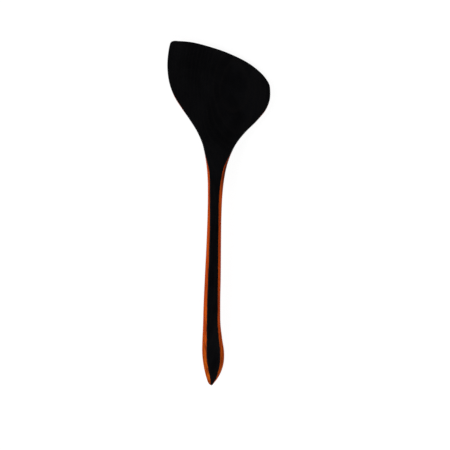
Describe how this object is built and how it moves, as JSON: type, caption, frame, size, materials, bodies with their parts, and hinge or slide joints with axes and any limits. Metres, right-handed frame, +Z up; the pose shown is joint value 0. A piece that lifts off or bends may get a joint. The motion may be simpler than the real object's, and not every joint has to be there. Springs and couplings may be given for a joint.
{
  "type": "wooden wok turner",
  "caption": "Hardwood wok turner: a broad, shallow-scooped blade with a slanted working edge on a slim swelling handle, with blackened faces and bare wood edges.",
  "frame": {"origin": "On the surface that the turner lies on, under the middle of its bounding box", "axes": "+Z up from the back to the working face, +Y from the handle's end to the blade, +X across the blade towards its rounded flank"},
  "size_m": [0.0988, 0.3302, 0.0208],
  "materials": {
    "bare_hardwood": "oiled, fine straight grain along the handle",
    "blackened_wood": "satin black over fine wood grain"
  },
  "bodies": {
    "root": {"hardwood_body": "bare_hardwood", "front_black_face": "blackened_wood", "back_black_face": "blackened_wood"}
  },
  "joints": []
}
